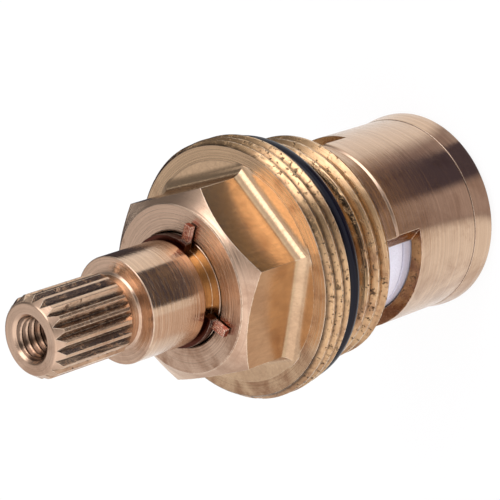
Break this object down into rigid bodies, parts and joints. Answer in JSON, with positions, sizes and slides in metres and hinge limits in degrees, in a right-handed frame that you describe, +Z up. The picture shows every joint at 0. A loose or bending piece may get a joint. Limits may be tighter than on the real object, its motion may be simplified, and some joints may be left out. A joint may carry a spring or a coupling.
{
  "type": "ceramic disc tap cartridge",
  "caption": "Brass quarter-turn tap cartridge with splined spindle, hexagon, threaded flange, side windows and ceramic discs, shown closed.",
  "frame": {"origin": "centre of the seat seal's lower lip, on the spindle's axis", "axes": "+Z up along the spindle's axis towards its splined tip; +X and -X through the middles of the two outlet windows"},
  "size_m": [0.025, 0.025, 0.052],
  "materials": {
    "brass": "turned and milled bare brass, brushed barrel, pinkish tan",
    "spindle_brass": "turned bare brass, rolled splines",
    "copper": "drawn copper alloy, striated reddish",
    "rubber": "moulded nitrile rubber, satin black",
    "plastic": "moulded natural acetal",
    "ceramic": "sintered white alumina, ground rim, lapped faces"
  },
  "bodies": {
    "body": {"gland_body": "brass", "end_ring": "brass", "flange_o_ring": "rubber", "thrust_washer": "plastic", "fixed_ceramic_disc": "ceramic", "seat_seal": "rubber", "seal_support_ring": "plastic"},
    "spindle": {"spindle": "spindle_brass", "retaining_clip": "copper", "spindle_o_ring_upper": "rubber", "spindle_o_ring_lower": "rubber", "moving_ceramic_disc": "ceramic"}
  },
  "joints": [
    {"name": "spindle_turn", "type": "hinge", "parent": "body", "child": "spindle", "pos_m": [0, 0, 0.034], "axis": [0, 0, 1], "range_deg": [0, 90]}
  ]
}
